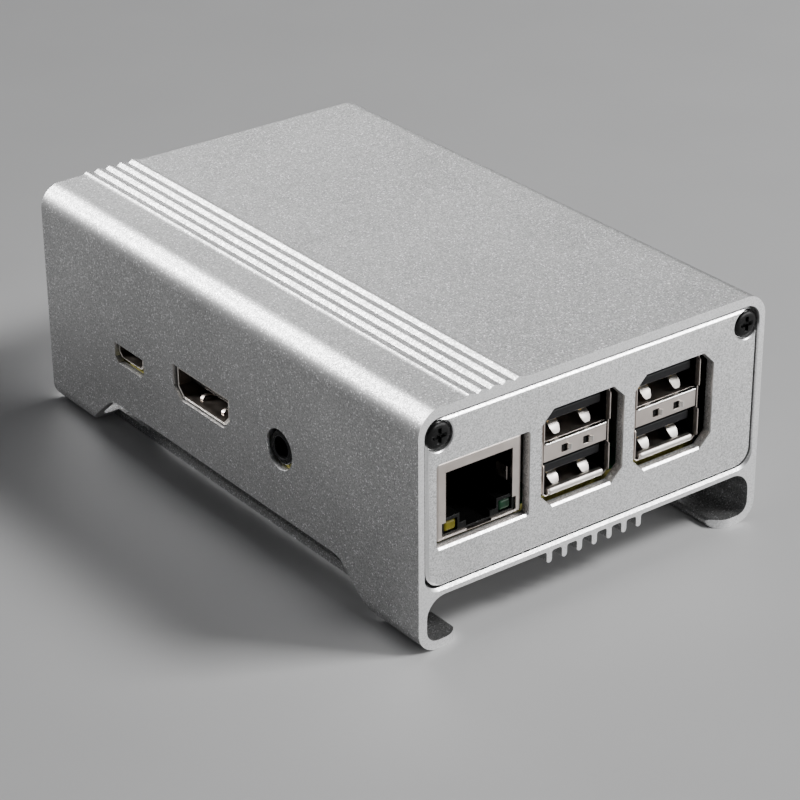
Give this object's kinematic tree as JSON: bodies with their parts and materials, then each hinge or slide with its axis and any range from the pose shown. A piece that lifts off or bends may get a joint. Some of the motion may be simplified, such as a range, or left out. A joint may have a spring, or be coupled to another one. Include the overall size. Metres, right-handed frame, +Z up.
{
  "type": "single board computer",
  "caption": "Single board computer in a silver extruded aluminium case on curled feet, with network and USB sockets at the end.",
  "frame": {"origin": "middle of the case's length and width, on the table plane under the feet", "axes": "+Z up, -Y towards the end plate with the network and USB sockets, -X towards the side with the HDMI, micro-USB and AV sockets"},
  "size_m": [0.0668, 0.1034, 0.0402],
  "materials": {
    "case_metal": "bead-blasted, clear anodised",
    "plate_metal": "fine satin, clear anodised",
    "tray_metal": "mill finish",
    "screw_black": "black oxide",
    "tinned_steel": "bright tin plate",
    "nickel_steel": "warm nickel plate",
    "brass": "turned, bright",
    "black_plastic": "moulded, fine texture",
    "chip_plastic": "moulded, fine texture",
    "cream_plastic": "moulded",
    "board_laminate": "green solder mask over glass laminate",
    "thermal_rubber": "soft, dusty",
    "yellow_lens": "clear moulded lens",
    "green_lens": "clear moulded lens",
    "red_lens": "clear moulded lens",
    "socket_dark": "moulded"
  },
  "bodies": {
    "case": {"activity_light": "green_lens", "av_jack": "black_plastic", "board_screw_front_left": "tinned_steel", "board_screw_front_right": "tinned_steel", "board_screw_rear_left": "tinned_steel", "board_screw_rear_right": "tinned_steel", "board_tray": "tray_metal", "camera_cable_socket": "cream_plastic", "case_body": "case_metal", "circuit_board": "board_laminate", "crystal_can": "tinned_steel", "display_cable_socket": "cream_plastic", "ethernet_insert": "black_plastic", "ethernet_light_left": "yellow_lens", "ethernet_light_right": "green_lens", "ethernet_shield": "nickel_steel", "gpio_header": "black_plastic", "hdmi_shell": "tinned_steel", "hdmi_tongue": "black_plastic", "input_fuse": "green_lens", "memory_chip": "chip_plastic", "micro_usb_shell": "tinned_steel", "micro_usb_tongue": "black_plastic", "microsd_socket": "tinned_steel", "power_chip": "chip_plastic", "power_inductor": "chip_plastic", "power_light": "red_lens", "processor_chip": "tinned_steel", "standoff_front_left": "brass", "standoff_front_right": "brass", "standoff_rear_left": "brass", "standoff_rear_right": "brass", "supply_capacitor": "tinned_steel", "thermal_pad": "thermal_rubber", "usb_network_chip": "chip_plastic", "usb_shell_left": "tinned_steel", "usb_shell_right": "tinned_steel", "usb_tongue_left_lower": "black_plastic", "usb_tongue_left_upper": "black_plastic", "usb_tongue_right_lower": "black_plastic", "usb_tongue_right_upper": "black_plastic", "wireless_module": "tinned_steel"},
    "front_cover": {"front_plate": "plate_metal", "front_plate_screw_left": "screw_black", "front_plate_screw_right": "screw_black"},
    "rear_cover": {"rear_plate": "plate_metal", "rear_plate_screw_left": "screw_black", "rear_plate_screw_right": "screw_black"},
    "memory_card": {"microsd_card": "chip_plastic"},
    "display_latch": {"display_cable_latch": "socket_dark"},
    "camera_latch": {"camera_cable_latch": "socket_dark"}
  },
  "joints": [
    {"name": "front_cover_slide", "type": "slide", "parent": "case", "child": "front_cover", "axis": [0, -1, 0], "range_m": [0, 0.015]},
    {"name": "rear_cover_slide", "type": "slide", "parent": "case", "child": "rear_cover", "axis": [0, 1, 0], "range_m": [0, 0.015]},
    {"name": "memory_card_slide", "type": "slide", "parent": "case", "child": "memory_card", "axis": [0, 1, 0], "range_m": [0, 0.01]},
    {"name": "display_latch_slide", "type": "slide", "parent": "case", "child": "display_latch", "axis": [0, 0, 1], "range_m": [0, 0.001]},
    {"name": "camera_latch_slide", "type": "slide", "parent": "case", "child": "camera_latch", "axis": [0, 0, 1], "range_m": [0, 0.001]}
  ]
}
